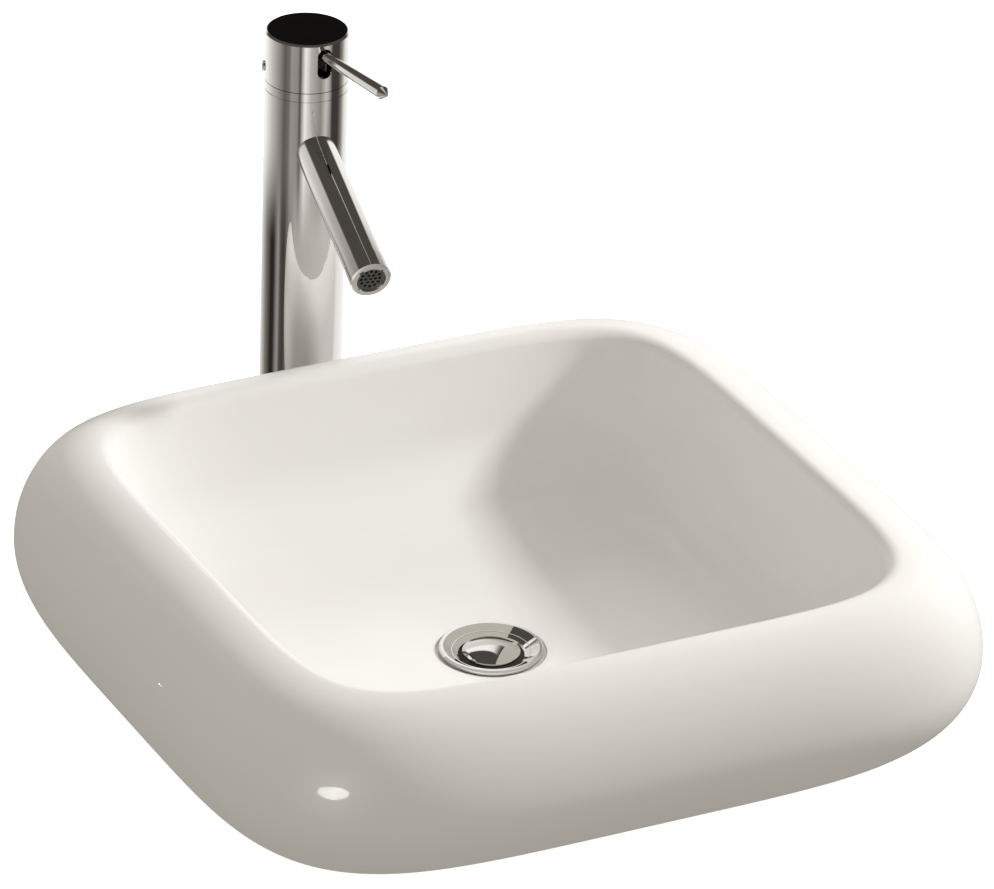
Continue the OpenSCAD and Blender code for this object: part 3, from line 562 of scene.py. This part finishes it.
def circle(across, height, sides, z=0.0):
    turns = [2 * math.pi * i / sides for i in range(sides)]
    return [(across * math.cos(turn), height * math.sin(turn), z) for turn in turns]


def build_tent():
    """A round tent of light and dark cards, seen only in reflections and from its inside."""
    f = material("tap_cards")
    front, side, height = (f.node("SeparateXYZ", {0: f.place()}, output=k) for k in range(3))
    around = f.node("Math", {0: side, 1: front}, operation="ARCTAN2") / (2 * math.pi) + 0.5

    def painted(cards):
        return f.node("ValToRGB", {0: around}, stops=[((turn + 180) / 360, card_colour(light))
                                                      for turn, light in cards])

    colour = f.mix(height.ramp(*LOW_TO_HIGH), painted(LOW_CARDS), painted(HIGH_CARDS))
    colour = f.mix(height.ramp(*HIGH_TO_TOP), colour, rgb(*card_colour(TOP_CARD)))
    glow = f.node("Emission", {0: colour, 1: 1.0})
    clear = f.node("BsdfTransparent")
    behind = f.node("NewGeometry", output=6)
    f.node("OutputMaterial", {0: f.node("MixShader", {0: behind, 1: glow, 2: clear})})
    points = [p for z in (TENT_BOTTOM, TENT_TOP) for p in circle(TENT_R, TENT_R, TENT_SIDES, z)]
    nexts = [(i + 1) % TENT_SIDES for i in range(TENT_SIDES)]
    faces = [(i, TENT_SIDES + i, TENT_SIDES + j, j) for i, j in enumerate(nexts)]
    tent = stage_mesh("tap_cards", points, faces, f.owner)
    only_mirrored(tent)
    tent.matrix_world = Matrix.Translation(TENT_MIDDLE) @ Matrix.Rotation(
        math.radians(CAMERA_TURN - 90), 4, "Z")


def build_window(name, spot, turn, rise, size, light):
    """A bright oval card that only the glaze mirrors."""
    f = material(name)
    f.node("OutputMaterial", {0: f.node("Emission", {0: rgb(1.0, 1.0, 0.99), 1: light})})
    window = stage_mesh(name, circle(size[0] / 2, size[1] / 2, WINDOW_SIDES),
                        [tuple(range(WINDOW_SIDES))], f.owner)
    only_mirrored(window)
    away = facing(turn, rise)
    window.matrix_world = Matrix.Translation(
        Vector(spot) + away * WINDOW_FAR) @ away.to_track_quat("Z", "Y").to_matrix().to_4x4()


def build_camera():
    turn, roll = math.radians(CAMERA_TURN), math.radians(CAMERA_ROLL)
    back = facing(CAMERA_TURN - 90, CAMERA_RISE)
    right = Vector((math.cos(turn), math.sin(turn), 0))
    up = back.cross(right)
    right_rolled = math.cos(roll) * right + math.sin(roll) * up
    up_rolled = back.cross(right_rolled)
    data = bpy.data.cameras.new("camera")
    data.sensor_fit = "HORIZONTAL"
    data.sensor_width = 36.0
    data.lens = FOCAL_PX / IMAGE_W * data.sensor_width
    data.clip_end = 50.0
    camera = bpy.data.objects.new("camera", data)
    bpy.context.scene.collection.objects.link(camera)
    axes = Matrix((right_rolled, up_rolled, back)).transposed()
    camera.matrix_world = Matrix.Translation(LOOK_AT + back * CAMERA_FAR) @ axes.to_4x4()
    bpy.context.scene.camera = camera


def soft_light(name, turn, rise, size, watts, colour):
    """An area light that faces the basin and doesn't show in it."""
    data = bpy.data.lights.new(name, "AREA")
    data.shape = "RECTANGLE"
    data.size, data.size_y = size
    data.energy = watts
    data.color = colour
    light = bpy.data.objects.new(name, data)
    light.visible_glossy = False
    bpy.context.scene.collection.objects.link(light)
    back = facing(turn, rise)
    light.location = LIGHT_AIM + back * LIGHT_FAR
    light.rotation_euler = back.to_track_quat("Z", "Y").to_euler()


def build_world():
    world = bpy.data.worlds.new("studio")
    bpy.context.scene.world = world
    f = Finish(world)
    height = f.node("SeparateXYZ", {0: f.node("TexCoord", output=0)}, output=2)
    sky = f.node("ValToRGB", {0: height * 0.5 + 0.5}, stops=SKY)
    f.node("OutputWorld", {0: f.node("Background", {0: sky, 1: 1.0})})


build_floor()
build_tent()
for name, window in WINDOWS.items():
    build_window(name, *window)
build_camera()
build_world()
for name, light in LIGHTS.items():
    soft_light(name, *light)
bpy.context.scene.view_settings.view_transform = "Standard"
